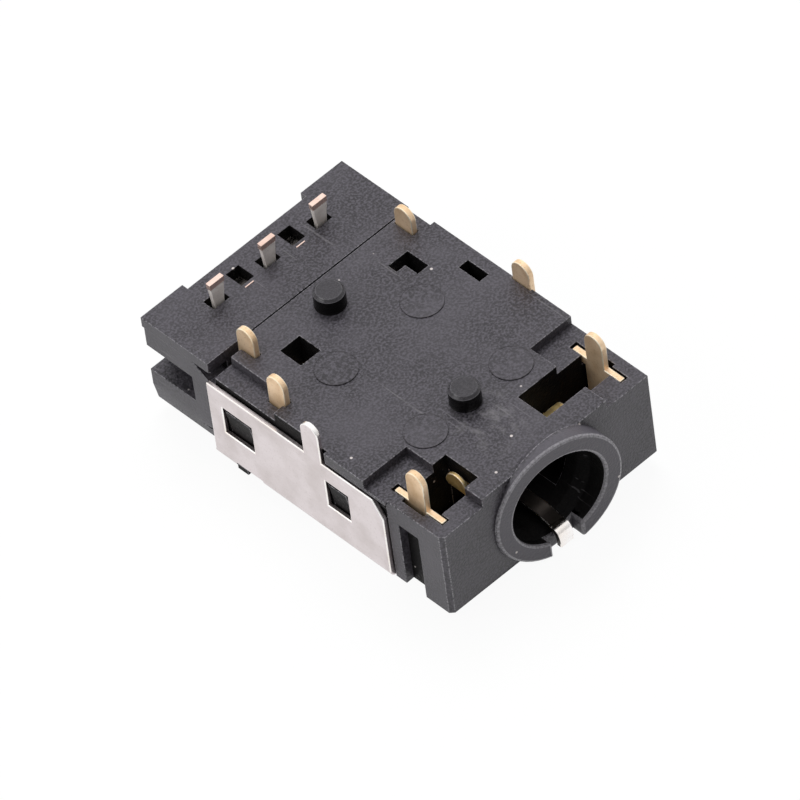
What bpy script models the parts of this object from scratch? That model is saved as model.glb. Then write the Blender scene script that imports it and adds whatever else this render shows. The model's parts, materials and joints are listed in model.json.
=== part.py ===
"""Board-mount 3.5 mm audio jack socket with an optical transmitter behind the bore.

Lengths are metres. The jack lies with its board side up: +Z is out of the board face, the mouth
looks along -Y and the steel ground shell is on the -X side. z = 0 is the lowest point of the mouth
ferrule and the origin is under the middle of the whole jack.
"""

import math

import bmesh
import bpy
from mathutils import Matrix

MM = 0.001
CLEAR = 0.03 * MM               # gap kept between pieces that touch or slide into each other
OVERSHOOT = 0.5 * MM            # how far a cutter runs past the face that it opens

# Moulded body
BODY_LENGTH = 15.42 * MM        # rear face of the holder to the front face beside the ferrule
BODY_HEIGHT = 4.4 * MM
HOUSING_WIDTH = 10.2 * MM
HOLDER_LENGTH = 3.45 * MM
HOLDER_INSET = 0.1 * MM         # how far the holder's sides stand back from the housing's
SHELF_DEPTH = 0.39 * MM

# Mouth and bore
FERRULE_DIAMETER = 5.45 * MM
FERRULE_LENGTH = 0.53 * MM      # how far its rim stands out of the front face, on the bore axis
RIM_SLANT = 0.14                # the rim comes forward by this much of the way to the right
FERRULE_ROOT = 0.8 * MM         # length of the cone that fairs the ferrule into the body
MOUTH_DIAMETER = 4.0 * MM
BORE_DIAMETER = 3.6 * MM        # takes a 3.5 mm plug
LEAD_IN = 0.5 * MM
NOTCH_WIDTH = 1.32 * MM         # gap in the ferrule's rim for the tongue
NOTCH_LENGTH = 0.45 * MM
NOTCH_X = 0.11 * MM

# Sheet metal
CONTACT_SHEET = 0.25 * MM
SPRING_SHEET = 0.15 * MM
SHELL_SHEET = 0.2 * MM
SHELL_RECESS = 0.05 * MM        # how deep the side is set back for the shell
TAIL_WIDTH = 0.9 * MM

# Optical transmitter
LEAD_PITCH = 2.54 * MM
LEAD_X = -0.08 * MM             # middle lead
LEAD_WIDTH = 0.46 * MM
LEAD_TIP_WIDTH = 0.68 * MM      # flare where the lead was cut from its frame
LEAD_SHEET = 0.36 * MM
LEAD_HEIGHT = 1.1 * MM          # above the board face
LEAD_FROM_REAR = 1.45 * MM
OPTIC_WIDTH = 7.0 * MM
OPTIC_LENGTH = 1.5 * MM
OPTIC_HEIGHT = 3.3 * MM
LENS_DIAMETER = 1.8 * MM
REAR_WALL = 0.6 * MM            # holder wall behind the transmitter
ROOF = 0.6 * MM                 # holder wall between the transmitter and the board

# Locating posts
POST_DIAMETER = 1.2 * MM
POST_HEIGHT = 0.85 * MM
POST_PITCH = 7.03 * MM
POST_X = -0.08 * MM
POST_EDGE = 0.12 * MM           # rounding of the crown
POST_DRAFT = 0.015 * MM         # how far the crown starts inside the post's side
REAR_POST_FROM_REAR = 4.75 * MM

# Contact springs
ARM_HEIGHT = 1.0 * MM
BUMP_RADIUS = 1.45 * MM         # free bump to bore axis: the 1.75 mm plug pushes it back 0.3 mm
BUMP_FLAT = 0.25 * MM
ARM_ROOM = 0.2 * MM             # cavity around an arm, so that it can flex

RIM = BODY_LENGTH + FERRULE_LENGTH
TOTAL_LENGTH = RIM + RIM_SLANT * FERRULE_DIAMETER / 2
REAR_Y = TOTAL_LENGTH / 2
AXIS_Z = FERRULE_DIAMETER / 2
BOARD_Z = AXIS_Z + BODY_HEIGHT / 2
BOTTOM_Z = BOARD_Z - BODY_HEIGHT
SHELF_Z = BOARD_Z - SHELF_DEPTH
HALF_WIDTH = HOUSING_WIDTH / 2
HALF_HOLDER = HALF_WIDTH - HOLDER_INSET
SHELL_WALL_X = HALF_WIDTH - SHELL_RECESS    # housing side behind the shell
SHELL_IN_X = SHELL_WALL_X + CLEAR
SHELL_OUT_X = SHELL_IN_X + SHELL_SHEET
HOUSING_REAR = HOLDER_LENGTH + 2 * CLEAR
HOUSING_LENGTH = BODY_LENGTH - HOUSING_REAR

BLACK = ("black_plastic", (0.05, 0.048, 0.053), 0.55, 0.0)
GOLD = ("gold_plate", (0.78, 0.58, 0.30), 0.3, 1.0)
STEEL = ("stainless_steel", (0.78, 0.76, 0.76), 0.35, 1.0)
TIN = ("tinned_copper", (0.62, 0.58, 0.55), 0.4, 1.0)
RESIN = ("clear_resin", (0.72, 0.72, 0.68), 0.1, 0.0)
SILICON = ("silicon", (0.12, 0.12, 0.15), 0.25, 0.3)


def y_at(from_rear):
    """World y of a place given by its distance from the rear face."""
    return REAR_Y - from_rear


def clear_scene():
    for item in list(bpy.data.objects):
        bpy.data.objects.remove(item, do_unlink=True)


def make_collections():
    parts = bpy.data.collections.new("audio_jack_socket")
    cutters = bpy.data.collections.new("cutters")
    for group in (parts, cutters):
        bpy.context.scene.collection.children.link(group)
    cutters.hide_render = True
    return parts, cutters


def material(spec):
    name, color, roughness, metallic = spec
    found = bpy.data.materials.get(name)
    if found:
        return found
    made = bpy.data.materials.new(name)
    made.use_nodes = True
    shader = made.node_tree.nodes["Principled BSDF"]
    shader.inputs["Base Color"].default_value = (*color, 1.0)
    shader.inputs["Roughness"].default_value = roughness
    shader.inputs["Metallic"].default_value = metallic
    return made


def put(obj, group):
    group.objects.link(obj)
    if group is CUTTERS:
        obj.hide_render = True
        obj.display_type = "WIRE"
    return obj


def finish(obj, spec):
    obj.data.materials.clear()
    obj.data.materials.append(material(spec))
    obj.data.shade_smooth()
    obj.data.set_sharp_from_angle(angle=math.radians(30))
    return obj


def from_bmesh(bm, name, group):
    mesh = bpy.data.meshes.new(name)
    bm.to_mesh(mesh)
    bm.free()
    return put(bpy.data.objects.new(name, mesh), group)


def box(name, x, rear, z, group=None):
    """Box between two x, two distances from the rear face and two z."""
    size = (x[1] - x[0], rear[1] - rear[0], z[1] - z[0])
    centre = ((x[0] + x[1]) / 2, y_at((rear[0] + rear[1]) / 2), (z[0] + z[1]) / 2)
    bm = bmesh.new()
    bmesh.ops.create_cube(bm, size=1)
    bmesh.ops.scale(bm, vec=size, verts=bm.verts)
    obj = from_bmesh(bm, name, group or CUTTERS)
    obj.location = centre
    return obj


def disc(name, radius, x, rear, z, segments=32, top_radius=None, group=None):
    """Upright cylinder or cone between two z."""
    bm = bmesh.new()
    top = radius if top_radius is None else top_radius
    bmesh.ops.create_cone(
        bm, cap_ends=True, segments=segments, radius1=radius, radius2=top, depth=z[1] - z[0]
    )
    obj = from_bmesh(bm, name, group or CUTTERS)
    obj.location = (x, y_at(rear), (z[0] + z[1]) / 2)
    return obj


def turned(name, profile, group=None, segments=56):
    """Profile of (radius, distance from rear) turned about the bore axis, running from the nose back."""
    mesh = bpy.data.meshes.new(name)
    points = [(radius, 0, rear) for radius, rear in profile]
    mesh.from_pydata(points, [(i, i + 1) for i in range(len(points) - 1)], [])
    obj = put(bpy.data.objects.new(name, mesh), group or CUTTERS)
    obj.rotation_euler = (math.radians(90), 0, 0)
    obj.location = (0, REAR_Y, AXIS_Z)
    screw = obj.modifiers.new("turn", "SCREW")
    screw.axis = "Z"
    screw.steps = segments
    screw.render_steps = segments
    screw.use_merge_vertices = True
    screw.merge_threshold = 1e-6
    return obj


def cut(obj, cutter, operation="DIFFERENCE"):
    step = obj.modifiers.new(cutter.name, "BOOLEAN")
    step.operation = operation
    step.solver = "EXACT"
    step.object = cutter


def join(obj, other):
    cut(obj, other, "UNION")


def as_mesh(curve_obj, group):
    """Mesh object in the place of a curve object, with its caps welded."""
    bpy.context.view_layer.update()
    graph = bpy.context.evaluated_depsgraph_get()
    mesh = bpy.data.meshes.new_from_object(curve_obj.evaluated_get(graph))
    mesh.materials.clear()
    bm = bmesh.new()
    bm.from_mesh(mesh)
    bmesh.ops.remove_doubles(bm, verts=bm.verts, dist=1e-6)
    bmesh.ops.dissolve_limit(bm, angle_limit=0.001, verts=bm.verts, edges=bm.edges)
    bm.to_mesh(mesh)
    bm.free()
    obj = bpy.data.objects.new(curve_obj.name + "_mesh", mesh)
    obj.matrix_world = curve_obj.matrix_world
    bpy.data.objects.remove(curve_obj, do_unlink=True)
    return put(obj, group)


def curve_object(name, outlines, closed, extrude, place):
    curve = bpy.data.curves.new(name, "CURVE")
    curve.dimensions = "2D"
    curve.fill_mode = "BOTH" if closed else "NONE"
    curve.extrude = extrude
    for outline in outlines:
        spline = curve.splines.new("POLY")
        spline.points.add(len(outline) - 1)
        for point, (u, v) in zip(spline.points, outline):
            point.co = (u, v, 0, 1)
        spline.use_cyclic_u = closed
    obj = bpy.data.objects.new(name, curve)
    bpy.context.scene.collection.objects.link(obj)
    obj.matrix_world = place
    return obj


def side_place(x):
    """Local x runs from the rear to the nose, local y is up and the sheet's middle is at x."""
    turn = Matrix(((0, 0, -1), (-1, 0, 0), (0, 1, 0))).to_4x4()
    return Matrix.Translation((x, REAR_Y, 0)) @ turn


def section_place(x, rear):
    """Local x stays across the body, local y is up and the section's middle lies at x and rear."""
    turn = Matrix(((1, 0, 0), (0, 0, -1), (0, 1, 0))).to_4x4()
    return Matrix.Translation((x, y_at(rear), 0)) @ turn


def level_place(z):
    """Local x and y are the world's and the sheet's middle is at z."""
    return Matrix.Translation((0, 0, z))


def sheet(name, outlines, thickness, place, group=None):
    """Flat plate with its outer outline first and any holes after it."""
    flat = curve_object(name, outlines, True, thickness / 2, place)
    return as_mesh(flat, group or CUTTERS)


def ribbon(name, path, width, thickness, place, group=None):
    """Strip bent along a path, standing on edge by its width."""
    strip = as_mesh(curve_object(name, [path], False, width / 2, place), group or CUTTERS)
    wall = strip.modifiers.new("thickness", "SOLIDIFY")
    wall.thickness = thickness
    wall.offset = 0
    wall.use_even_offset = True
    return strip


def arc(centre, radius, start, end, steps=8):
    """Points on an arc, angles in degrees."""
    points = []
    for i in range(steps + 1):
        turn = math.radians(start + (end - start) * i / steps)
        points.append((centre[0] + radius * math.cos(turn), centre[1] + radius * math.sin(turn)))
    return points


def eased(points, radius, steps=5):
    """The same path with its inner corners rounded."""
    out = [points[0]]
    for before, corner, after in zip(points, points[1:], points[2:]):
        ends = []
        for other in (before, after):
            run = (other[0] - corner[0], other[1] - corner[1])
            length = math.hypot(*run)
            share = min(radius, length * 0.45) / length
            ends.append((corner[0] + run[0] * share, corner[1] + run[1] * share))
        for i in range(steps + 1):
            t = i / steps
            weights = ((1 - t) ** 2, 2 * t * (1 - t), t * t)
            trio = (ends[0], corner, ends[1])
            out.append(tuple(sum(w * p[axis] for w, p in zip(weights, trio)) for axis in (0, 1)))
    out.append(points[-1])
    return out


def tail_outline(middle, width, base_z, top_z):
    """Left to right over a solder tail with a round end, as (distance from rear, z)."""
    radius = width / 2
    return (
        [(middle - radius, base_z)]
        + arc((middle, top_z - radius), radius, 180, 0, 12)
        + [(middle + radius, base_z)]
    )


def sided(side, inner, outer):
    """The two x between an inner and an outer distance from the middle, on one side."""
    return sorted((side * inner, side * outer))


# Housing: the moulded body with ferrule, shelves, posts, spring cavities and windows
FRONT_TAIL = BODY_LENGTH - 1.82 * MM        # middle of the front contacts
FRONT_BLADE_X = HALF_WIDTH - 0.7 * MM
FRONT_BLADE = 1.1 * MM          # width of the front blades below their tails
SHELF_INNER_X = HALF_WIDTH - 2.03 * MM
FRONT_SHELF_REAR = BODY_LENGTH - 3.8 * MM
REAR_SHELF_X = HALF_WIDTH - 0.9 * MM
REAR_SHELF_LENGTH = 3.4 * MM
CORNER_RELIEF_X = HALF_WIDTH - 1.62 * MM
CORNER_RELIEF_LENGTH = 0.32 * MM
SIDE_RELIEF = (0.2 * MM, 1.15 * MM)         # depth and length of the right side's rear relief
CORNER_BEVEL = 0.16 * MM
MARK_DIAMETER = 1.6 * MM
MARK_HEIGHT = 0.03 * MM
MARK_SIDES = 40
MARK_X = HALF_WIDTH - 2.98 * MM
MARKS_FROM_REAR = (HOUSING_REAR + 3.58 * MM, BODY_LENGTH - 3.8 * MM)
SIDE_SLOT = (BODY_LENGTH - 2.29 * MM, BODY_LENGTH - 1.31 * MM)
SIDE_SLOT_DEPTH = 0.35 * MM
SIDE_SLOT_TOP = 1.3 * MM        # below the board face
LIP_OUT = 0.12 * MM             # lip of the board face over the shell's top edge
LIP_HEIGHT = 0.3 * MM
LIP_ENDS = (0.6 * MM, 0.15 * MM)
REAR_WINDOW_REAR = HOUSING_REAR + 1.44 * MM
REAR_WINDOW_LENGTH = 1.07 * MM
REAR_WINDOW_WIDTH = 0.95 * MM
LEFT_WINDOW_X = BORE_DIAMETER / 2 + 0.08 * MM       # inner edges of the rear windows
RIGHT_WINDOW_X = BORE_DIAMETER / 2 + 0.73 * MM
WINDOW_STEP = (0.42 * MM, 0.43 * MM)                # corner left standing in the right one
LEFT_POCKET_X = BORE_DIAMETER / 2 + 0.61 * MM       # inner edges of the front windows
RIGHT_POCKET_X = BORE_DIAMETER / 2 - 0.64 * MM
LEFT_POCKET_NOSE = FRONT_TAIL + 0.95 * MM
RIGHT_POCKET_NOSE = FRONT_TAIL + 0.78 * MM
SWITCH_WINDOW = (0.46 * MM, 1.05 * MM)
SWITCH_WINDOW_X = HALF_WIDTH - 0.97 * MM
CAVITY_TOP_Z = AXIS_Z + ARM_HEIGHT / 2 + ARM_ROOM
FRONT_CAVITY_FLOOR = 0.7 * MM   # thickness left under the front pockets
FRONT_ROOF = 0.75 * MM          # thickness over the front springs
POCKET_MARGIN = 0.12 * MM       # pocket around the front springs along the body


def ferrule(housing):
    """Ferrule turned with the cone that fairs it into the body and cut to its slanted rim."""
    outer = FERRULE_DIAMETER / 2
    root = BODY_LENGTH - FERRULE_ROOT
    far = TOTAL_LENGTH + OVERSHOOT
    profile = [
        (0, far),
        (outer, far),
        (outer, BODY_LENGTH),
        (BORE_DIAMETER / 2, root),
        (0, root),
    ]
    join(housing, turned("ferrule", profile))
    reach = outer + OVERSHOOT
    slope = RIM_SLANT * reach
    outline = [(-reach, y_at(RIM - slope)), (reach, y_at(RIM + slope))]
    outline += [(reach, y_at(far + OVERSHOOT)), (-reach, y_at(far + OVERSHOOT))]
    cut(housing, sheet("rim_slant", [outline], 2 * reach, level_place(AXIS_Z)))


def bore(housing):
    mouth = MOUTH_DIAMETER / 2
    narrow = BORE_DIAMETER / 2
    profile = [
        (0, TOTAL_LENGTH + OVERSHOOT),
        (mouth, TOTAL_LENGTH + OVERSHOOT),
        (mouth, BODY_LENGTH),
        (narrow, BODY_LENGTH - LEAD_IN),
        (narrow, HOUSING_REAR - OVERSHOOT),
        (0, HOUSING_REAR - OVERSHOOT),
    ]
    cut(housing, turned("bore", profile))
    notch = (NOTCH_X - NOTCH_WIDTH / 2, NOTCH_X + NOTCH_WIDTH / 2)
    nose = (RIM - NOTCH_LENGTH, TOTAL_LENGTH + OVERSHOOT)
    cut(housing, box("mouth_notch", notch, nose, (-OVERSHOOT, AXIS_Z - BORE_DIAMETER / 4)))


def shelves(housing):
    above = BOARD_Z + OVERSHOOT
    outside = HALF_WIDTH + OVERSHOOT
    nose = BODY_LENGTH + OVERSHOOT
    for side, name in ((-1, "left"), (1, "right")):
        x = sided(side, SHELF_INNER_X, outside)
        shelf = box("front_shelf_" + name, x, (FRONT_SHELF_REAR, nose), (SHELF_Z, above))
        cut(housing, shelf)
    rear = HOUSING_REAR - OVERSHOOT
    x = (-outside, -REAR_SHELF_X)
    cut(housing, box("rear_shelf", x, (rear, HOUSING_REAR + REAR_SHELF_LENGTH), (SHELF_Z, above)))
    x = (-outside, -CORNER_RELIEF_X)
    z = (SHELF_Z - SHELF_DEPTH, above)
    cut(housing, box("corner_relief", x, (rear, HOUSING_REAR + CORNER_RELIEF_LENGTH), z))
    depth, length = SIDE_RELIEF
    x = (HALF_WIDTH - depth, outside)
    z = (BOTTOM_Z - OVERSHOOT, above)
    cut(housing, box("rear_right_relief", x, (rear, HOUSING_REAR + length), z))
    corner = (-HALF_WIDTH, y_at(BODY_LENGTH))
    over = CORNER_BEVEL + OVERSHOOT
    outline = [
        (corner[0] - OVERSHOOT, corner[1] + over),
        (corner[0] - OVERSHOOT, corner[1] - OVERSHOOT),
        (corner[0] + over, corner[1] - OVERSHOOT),
    ]
    bevel = sheet("corner_bevel", [outline], BODY_HEIGHT + 2 * OVERSHOOT, level_place(AXIS_Z))
    cut(housing, bevel)


def windows(housing):
    """Openings in the board face: three over the rear springs and one at each front pocket."""
    above = BOARD_Z + OVERSHOOT
    through = (AXIS_Z, above)
    rear = REAR_WINDOW_REAR
    nose = rear + REAR_WINDOW_LENGTH
    x = sided(-1, LEFT_WINDOW_X, LEFT_WINDOW_X + REAR_WINDOW_WIDTH)
    cut(housing, box("window_left", x, (rear, nose), through))
    outer = RIGHT_WINDOW_X + REAR_WINDOW_WIDTH
    x = (RIGHT_WINDOW_X, outer)
    cut(housing, box("window_right", x, (rear, rear + WINDOW_STEP[1]), through))
    x = (RIGHT_WINDOW_X + WINDOW_STEP[0], outer)
    cut(housing, box("window_right_leg", x, (rear + CLEAR, nose), through))
    width, length = SWITCH_WINDOW
    x = (SWITCH_WINDOW_X, SWITCH_WINDOW_X + width)
    rear = HOUSING_REAR + REAR_SHELF_LENGTH
    cut(housing, box("window_switch", x, (rear, rear + length), through))
    pocket = (BOTTOM_Z + FRONT_CAVITY_FLOOR, above)
    rear = FRONT_TAIL - FRONT_BLADE / 2 - POCKET_MARGIN
    outer = FRONT_BLADE_X + CONTACT_SHEET / 2 + 2 * CLEAR
    x = sided(-1, LEFT_POCKET_X, outer)
    cut(housing, box("front_window_left", x, (rear, LEFT_POCKET_NOSE), pocket))
    x = (RIGHT_POCKET_X, outer)
    cut(housing, box("front_window_right", x, (rear, RIGHT_POCKET_NOSE), pocket))


def board_side(housing):
    """Locating posts and the round marks that the ejector pins leave."""
    root = BOARD_Z - SHELF_DEPTH / 2
    top = BOARD_Z + POST_HEIGHT
    radius = POST_DIAMETER / 2
    for name, rear in (
        ("post_rear", REAR_POST_FROM_REAR),
        ("post_front", REAR_POST_FROM_REAR + POST_PITCH),
    ):
        join(housing, disc(name, radius, POST_X, rear, (root, top - POST_EDGE)))
        z = (top - POST_EDGE - CLEAR, top)
        foot = radius - POST_DRAFT
        join(housing, disc(name + "_crown", foot, POST_X, rear, z, top_radius=radius - POST_EDGE))
    for side in (-1, 1):
        for rear in MARKS_FROM_REAR:
            z = (root, BOARD_Z + MARK_HEIGHT)
            join(housing, disc("ejector_mark", MARK_DIAMETER / 2, side * MARK_X, rear, z, MARK_SIDES))


REAR_LATCH = (0.71 * MM, 1.5 * MM)          # from the shell's rear edge, length
NOSE_LATCH = (2.98 * MM, 1.15 * MM)         # from its nose edge, length
LATCH_TOP = 1.45 * MM           # below the board face
LATCH_HEIGHT = 1.33 * MM
LATCH_GAP = 0.12 * MM
LATCH_ROOT = 0.3 * MM           # how deep a ramp's body goes into the housing
STOP_SHARE = 0.4                # stop's length, as a share of the shell's bottom notch


def latches():
    """Where each latch window starts and how long it is."""
    return [
        (SHELL_REAR + REAR_LATCH[0], REAR_LATCH[1]),
        (SHELL_NOSE - NOSE_LATCH[0], NOSE_LATCH[1]),
    ]


def shell_side(housing):
    """Recess for the shell with the ramps and the stop that hold it, and the slots in front."""
    outside = HALF_WIDTH + OVERSHOOT
    below = BOTTOM_Z - OVERSHOOT
    rear = HOUSING_REAR - OVERSHOOT
    nose = SHELL_NOSE + 2 * CLEAR
    recess = box("shell_recess", (-outside, -SHELL_WALL_X), (rear, nose), (below, BOARD_Z + OVERSHOOT))
    cut(housing, recess)
    flange_z = BOTTOM_Z + SHELL_SHEET + CLEAR
    x = (-outside, FLANGE_X + CLEAR)
    along = (FLANGE_REAR - CLEAR, SHELL_NOSE + CLEAR)
    cut(housing, box("flange_recess", x, along, (below, flange_z)))
    x = (-outside, -SHELL_WALL_X + BEND / 2)
    z = (below, BOTTOM_Z + BEND + 2 * CLEAR)
    cut(housing, box("fold_room", x, (HOUSING_REAR - OVERSHOOT, SHELL_NOSE + CLEAR), z))
    x = (NOTCH_X - TONGUE_WIDTH / 2 - 2 * CLEAR, NOTCH_X + TONGUE_WIDTH / 2 + 2 * CLEAR)
    along = (SHELL_NOSE - OVERSHOOT, SHELL_NOSE + TONGUE_RISE + SHELL_SHEET / 2)
    cut(housing, box("tongue_channel", x, along, (below, AXIS_Z - BORE_DIAMETER / 4)))
    for side in (-1, 1):
        x = sided(side, HALF_WIDTH - SIDE_SLOT_DEPTH, outside)
        z = (below, BOARD_Z - SIDE_SLOT_TOP)
        cut(housing, box("side_slot", x, SIDE_SLOT, z))
    for start, length in latches():
        top = BOARD_Z - LATCH_TOP - LATCH_GAP
        foot = top - LATCH_HEIGHT + LATCH_GAP
        inner = -SHELL_WALL_X + LATCH_ROOT
        outer = -SHELL_OUT_X + CLEAR
        wedge = [(inner, top), (outer, top), (-SHELL_WALL_X, foot), (inner, foot)]
        place = section_place(0, start + length / 2)
        join(housing, sheet("latch_ramp", [wedge], length - 2 * LATCH_GAP, place))
    along = (SHELL_TAIL + LIP_ENDS[0], SHELL_NOSE + LIP_ENDS[1])
    x = (-HALF_WIDTH - LIP_OUT, -SHELL_WALL_X + LIP_HEIGHT)
    join(housing, box("board_lip", x, along, (BOARD_Z - SHELF_DEPTH - LIP_HEIGHT / 2, BOARD_Z)))
    rear = SHELL_REAR + SHELL_NOTCH[0] + CLEAR
    x = (-SHELL_OUT_X, -SHELL_WALL_X + BEND)
    z = (BOTTOM_Z + CLEAR, BOTTOM_Z + SHELL_NOTCH_HEIGHT - CLEAR)
    join(housing, box("shell_stop", x, (rear, rear + SHELL_NOTCH[1] * STOP_SHARE), z))


def make_housing():
    across = (-HALF_WIDTH, HALF_WIDTH)
    body = box("housing", across, (HOUSING_REAR, BODY_LENGTH), (BOTTOM_Z, BOARD_Z), PARTS)
    ferrule(body)
    shell_side(body)
    shelves(body)
    board_side(body)
    bore(body)
    windows(body)
    for contact in FRONT_CONTACTS:
        for cutter in front_cutters(contact):
            cut(body, cutter)
    for contact in REAR_CONTACTS:
        for cutter in rear_cutters(contact):
            cut(body, cutter)
    return finish(body, BLACK)


# Holder: the moulded cap at the rear that carries the transmitter
SLOT_NOSE = 2.35 * MM           # open slot in each side, from the rear
SLOT_DROP = (1.53 * MM, 2.78 * MM)
SLOT_DEPTH = 0.9 * MM
LIP_DROP = 0.48 * MM
LIP_STEP = 0.08 * MM
RAMP_REAR = 2.42 * MM           # gaps that widen towards the housing, above and below the latch
UPPER_RAMP = (0.55 * MM, 1.2 * MM)
LOWER_RAMP = (3.62 * MM, 3.96 * MM)
FOOT_BEVEL = (0.15 * MM, 0.85 * MM)
REAR_RECESS_X = LEAD_PITCH + 0.39 * MM
REAR_RECESS = 0.28 * MM
OPTIC_REAR = REAR_WALL + CLEAR
OPTIC_NOSE = OPTIC_REAR + OPTIC_LENGTH
OPTIC_TOP = BOARD_Z - ROOF - CLEAR
LEAD_HOLE = (0.16 * MM, 0.1 * MM)           # room around a lead in its hole
TOOL_HOLE = (0.62 * MM, 0.82 * MM)
TOOL_HOLE_REAR = 0.84 * MM
NOSE_OPENING = 4.4 * MM


def holder_sides(holder):
    """Step under the top lip, the latch between its two ramped gaps and the slot open to the rear."""
    outside = HALF_HOLDER + OVERSHOOT
    below = BOTTOM_Z - OVERSHOOT
    nose = HOLDER_LENGTH + OVERSHOOT
    for side, name in ((-1, "left"), (1, "right")):
        x = sided(side, HALF_HOLDER - LIP_STEP, outside)
        z = (below, BOARD_Z - LIP_DROP)
        cut(holder, box("lip_step_" + name, x, (-OVERSHOOT, nose), z))
        x = sided(side, HALF_HOLDER - SLOT_DEPTH, outside)
        z = (BOARD_Z - SLOT_DROP[1], BOARD_Z - SLOT_DROP[0])
        cut(holder, box("side_slot_" + name, x, (-OVERSHOOT, SLOT_NOSE), z))
        slope = (UPPER_RAMP[1] - UPPER_RAMP[0]) / (HOLDER_LENGTH - RAMP_REAR)
        high = BOARD_Z - UPPER_RAMP[0]
        upper = [(RAMP_REAR, high), (nose, high - slope * (nose - RAMP_REAR)), (nose, high)]
        low = BOARD_Z - LOWER_RAMP[1]
        rise = LOWER_RAMP[1] - LOWER_RAMP[0]
        lower = [(RAMP_REAR, low), (nose, low), (nose, low + rise)]
        for ramp, outline in (("upper", upper), ("lower", lower)):
            place = side_place(side * HALF_HOLDER)
            cut(holder, sheet(f"{ramp}_ramp_{name}", [outline], 2 * SLOT_DEPTH, place))
        inset, height = FOOT_BEVEL
        inner = side * (HALF_HOLDER - LIP_STEP - inset)
        outer = side * outside
        wedge = [(side * (HALF_HOLDER - LIP_STEP), BOTTOM_Z + height), (inner, BOTTOM_Z)]
        wedge += [(inner, below), (outer, below), (outer, BOTTOM_Z + height)]
        place = section_place(0, HOLDER_LENGTH / 2)
        cut(holder, sheet("foot_bevel_" + name, [wedge], HOLDER_LENGTH + 2 * OVERSHOOT, place))


def make_holder():
    z = (BOTTOM_Z, BOARD_Z)
    holder = box("rear_holder", (-HALF_HOLDER, HALF_HOLDER), (0, HOLDER_LENGTH), z, PARTS)
    holder_sides(holder)
    below = BOTTOM_Z - OVERSHOOT
    above = BOARD_Z + OVERSHOOT
    x = (-REAR_RECESS_X, REAR_RECESS_X)
    cut(holder, box("rear_recess", x, (-OVERSHOOT, REAR_RECESS), (below, above)))
    room = OPTIC_WIDTH / 2 + CLEAR
    along = (REAR_WALL, OPTIC_NOSE + CLEAR)
    cut(holder, box("optic_pocket", (-room, room), along, (below, BOARD_Z - ROOF)))
    x = (-NOSE_OPENING / 2, NOSE_OPENING / 2)
    along = (OPTIC_NOSE - OVERSHOOT, HOUSING_REAR + OVERSHOOT)
    cut(holder, box("nose_opening", x, along, (below, BOARD_Z - ROOF)))
    z = (OPTIC_TOP - OVERSHOOT / 2, above)
    for middle in lead_x():
        half = LEAD_WIDTH / 2 + LEAD_HOLE[0]
        reach = LEAD_SHEET / 2 + LEAD_HOLE[1]
        along = (LEAD_FROM_REAR - reach, LEAD_FROM_REAR + reach)
        cut(holder, box("lead_hole", (middle - half, middle + half), along, z))
    width, length = TOOL_HOLE
    for side in (-1, 1):
        middle = side * LEAD_PITCH / 2
        along = (TOOL_HOLE_REAR, TOOL_HOLE_REAR + length)
        cut(holder, box("tool_hole", (middle - width / 2, middle + width / 2), along, z))
    return finish(holder, BLACK)


# Transmitter: clear resin block with a lens, three leads, the light source and its driver
LEAD_DEPTH = 2.6 * MM           # lead length inside the resin
LEAD_ROOM = 0.05 * MM
PAD_WIDTH = 1.3 * MM
CHIP = (0.9 * MM, 0.15 * MM, 1.0 * MM)
DIE = (0.35 * MM, 0.15 * MM, 0.35 * MM)
LENS_RISE = 0.45 * MM
LENS_ROOT = 0.4 * MM            # how deep the turned lens goes into the block
LENS_STEPS = 6
CHIP_DROP = 1.95 * MM           # middle of the driver chip, below the block's top


def lead_x():
    return [LEAD_X + i * LEAD_PITCH for i in (-1, 0, 1)]


def make_optic():
    half = OPTIC_WIDTH / 2
    z = (OPTIC_TOP - OPTIC_HEIGHT, OPTIC_TOP)
    resin = box("optic_body", (-half, half), (OPTIC_REAR, OPTIC_NOSE), z, PARTS)
    radius = LENS_DIAMETER / 2
    dome = [(0, OPTIC_NOSE + LENS_RISE)]
    for i in range(1, LENS_STEPS + 1):
        turn = math.radians(90 * i / LENS_STEPS)
        dome.append((radius * math.sin(turn), OPTIC_NOSE + LENS_RISE * math.cos(turn)))
    dome += [(radius, OPTIC_NOSE - LENS_ROOT), (0, OPTIC_NOSE - LENS_ROOT)]
    join(resin, turned("lens_dome", dome, segments=32))
    reach = LEAD_SHEET / 2 + LEAD_ROOM
    top = OPTIC_TOP + OVERSHOOT
    bottom = OPTIC_TOP - LEAD_DEPTH - LEAD_ROOM
    widths = (LEAD_WIDTH, PAD_WIDTH, PAD_WIDTH)
    for x, width in zip(lead_x(), widths):
        side = width / 2 + LEAD_ROOM
        back = LEAD_FROM_REAR + reach
        front = back + (CHIP[1] if width == PAD_WIDTH else 0)
        slot = (LEAD_FROM_REAR - reach, front)
        cut(resin, box("lead_slot", (x - side, x + side), slot, (bottom, top)))
    return finish(resin, RESIN)


def lead_outline(width):
    """Pad in the resin, straight lead through the roof and the flare at the cut end, as (x, z)."""
    foot = OPTIC_TOP - LEAD_DEPTH
    pad_top = foot + LEAD_DEPTH / 2
    side = LEAD_WIDTH / 2
    tip = LEAD_TIP_WIDTH / 2
    top = BOARD_Z + LEAD_HEIGHT
    right = [(side, BOARD_Z), (tip, top - CLEAR), (tip - CLEAR, top)]
    if width > LEAD_WIDTH:
        right = [(width / 2, foot), (width / 2, pad_top), (side, pad_top)] + right
    else:
        right = [(side, foot)] + right
    left = [(-x, z) for x, z in reversed(right)]
    return right + left


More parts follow.
